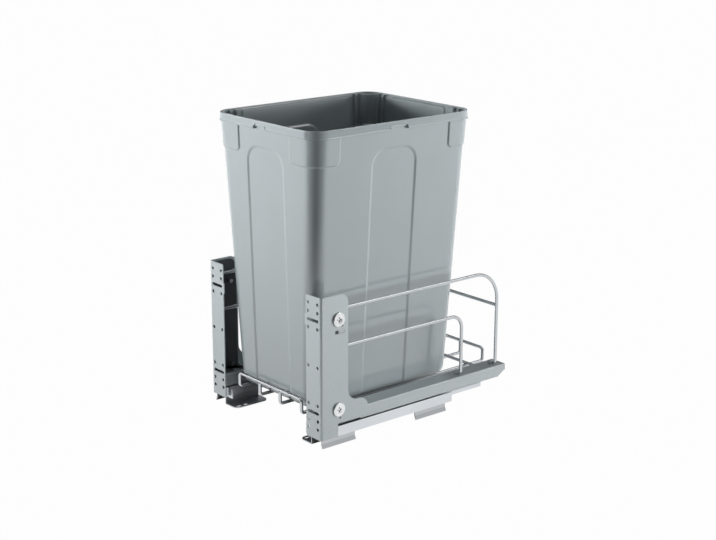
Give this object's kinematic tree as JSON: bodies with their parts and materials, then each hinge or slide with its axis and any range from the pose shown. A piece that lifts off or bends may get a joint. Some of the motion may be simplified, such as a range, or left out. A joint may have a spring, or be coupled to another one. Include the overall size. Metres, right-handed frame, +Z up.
{
  "type": "pull-out bin frame",
  "caption": "Wire cradle on floor-mounted ball slides that pulls a tapered lift-out waste bin out of a cabinet, with drilled side brackets for the door.",
  "frame": {"origin": "on the floor under the middle of the frame's box, with the slides closed", "axes": "+Z up, -Y towards the door and the pull, +X to the right seen from the door"},
  "size_m": [0.2654, 0.368, 0.441],
  "materials": {
    "silver_paint": "silver grey powder coat",
    "zinc_steel": "zinc plated sheet",
    "dark_steel": "dark grey coat",
    "wire": "satin chrome plated wire",
    "adjuster": "bright nickel plate",
    "rivet_steel": "plain zinc",
    "ball_steel": "polished",
    "cage": "moulded",
    "rubber": "matte",
    "bin_plastic": "satin moulded polypropylene"
  },
  "bodies": {
    "base": {"foot_front_left": "zinc_steel", "foot_front_right": "zinc_steel", "foot_rear_left": "zinc_steel", "foot_rear_right": "zinc_steel", "foot_rivets_left": "rivet_steel", "foot_rivets_right": "rivet_steel", "cabinet_member_left": "zinc_steel", "cabinet_member_right": "zinc_steel", "closing_bumper_left": "rubber", "closing_bumper_right": "rubber"},
    "carriage": {"drawer_member_left": "zinc_steel", "drawer_member_right": "zinc_steel", "side_rail_left": "silver_paint", "side_rail_right": "silver_paint", "upright_left": "dark_steel", "upright_right": "dark_steel", "rivet_nuts_left": "rivet_steel", "rivet_nuts_right": "rivet_steel", "upper_side_wire_left": "wire", "upper_side_wire_right": "wire", "lower_side_wire_left": "wire", "lower_side_wire_right": "wire", "floor_wire_left": "wire", "floor_wire_right": "wire", "rear_cross_wire": "wire", "cradle_loop_wire": "wire", "front_floor_cross_wire": "wire", "rear_floor_cross_wire": "wire"},
    "bin": {"bin": "bin_plastic"},
    "middle_left": {"middle_member_left": "zinc_steel"},
    "outer_cage_left": {"outer_ball_cage_left": "cage", "outer_balls_left": "ball_steel"},
    "inner_cage_left": {"inner_ball_cage_left": "cage", "inner_balls_left": "ball_steel"},
    "bracket_left": {"door_bracket_left": "silver_paint"},
    "upper_screw_left": {"upper_adjuster_left": "adjuster"},
    "lower_screw_left": {"lower_adjuster_left": "adjuster"},
    "middle_right": {"middle_member_right": "zinc_steel"},
    "outer_cage_right": {"outer_ball_cage_right": "cage", "outer_balls_right": "ball_steel"},
    "inner_cage_right": {"inner_ball_cage_right": "cage", "inner_balls_right": "ball_steel"},
    "bracket_right": {"door_bracket_right": "silver_paint"},
    "upper_screw_right": {"upper_adjuster_right": "adjuster"},
    "lower_screw_right": {"lower_adjuster_right": "adjuster"}
  },
  "joints": [
    {"name": "carriage_slide", "type": "slide", "parent": "base", "child": "carriage", "axis": [0, -1, 0], "range_m": [0, 0.25]},
    {"name": "outer_cage_slide_left", "type": "slide", "parent": "base", "child": "outer_cage_left", "axis": [0, -1, 0], "range_m": [0, 0.0625]},
    {"name": "middle_slide_left", "type": "slide", "parent": "base", "child": "middle_left", "axis": [0, -1, 0], "range_m": [0, 0.125]},
    {"name": "inner_cage_slide_left", "type": "slide", "parent": "base", "child": "inner_cage_left", "axis": [0, -1, 0], "range_m": [0, 0.1875]},
    {"name": "bracket_height_left", "type": "slide", "parent": "carriage", "child": "bracket_left", "axis": [0, 0, 1], "range_m": [-0.003, 0.003]},
    {"name": "upper_screw_turn_left", "type": "hinge", "parent": "carriage", "child": "upper_screw_left", "pos_m": [-0.13, -0.153, 0.183], "axis": [-1, 0, 0], "range_deg": [-180, 180]},
    {"name": "lower_screw_turn_left", "type": "hinge", "parent": "carriage", "child": "lower_screw_left", "pos_m": [-0.13, -0.153, 0.053], "axis": [-1, 0, 0], "range_deg": [-180, 180]},
    {"name": "outer_cage_slide_right", "type": "slide", "parent": "base", "child": "outer_cage_right", "axis": [0, -1, 0], "range_m": [0, 0.0625]},
    {"name": "middle_slide_right", "type": "slide", "parent": "base", "child": "middle_right", "axis": [0, -1, 0], "range_m": [0, 0.125]},
    {"name": "inner_cage_slide_right", "type": "slide", "parent": "base", "child": "inner_cage_right", "axis": [0, -1, 0], "range_m": [0, 0.1875]},
    {"name": "bracket_height_right", "type": "slide", "parent": "carriage", "child": "bracket_right", "axis": [0, 0, 1], "range_m": [-0.003, 0.003]},
    {"name": "upper_screw_turn_right", "type": "hinge", "parent": "carriage", "child": "upper_screw_right", "pos_m": [0.13, -0.153, 0.183], "axis": [1, 0, 0], "range_deg": [-180, 180]},
    {"name": "lower_screw_turn_right", "type": "hinge", "parent": "carriage", "child": "lower_screw_right", "pos_m": [0.13, -0.153, 0.053], "axis": [1, 0, 0], "range_deg": [-180, 180]},
    {"name": "bin_lift", "type": "slide", "parent": "carriage", "child": "bin", "axis": [0, 0, 1], "range_m": [0, 0.2]}
  ],
  "couplings": [
    {"joint": "outer_cage_slide_left", "follows": "carriage_slide", "ratio": 0.25},
    {"joint": "middle_slide_left", "follows": "carriage_slide", "ratio": 0.5},
    {"joint": "inner_cage_slide_left", "follows": "carriage_slide", "ratio": 0.75},
    {"joint": "outer_cage_slide_right", "follows": "carriage_slide", "ratio": 0.25},
    {"joint": "middle_slide_right", "follows": "carriage_slide", "ratio": 0.5},
    {"joint": "inner_cage_slide_right", "follows": "carriage_slide", "ratio": 0.75}
  ]
}
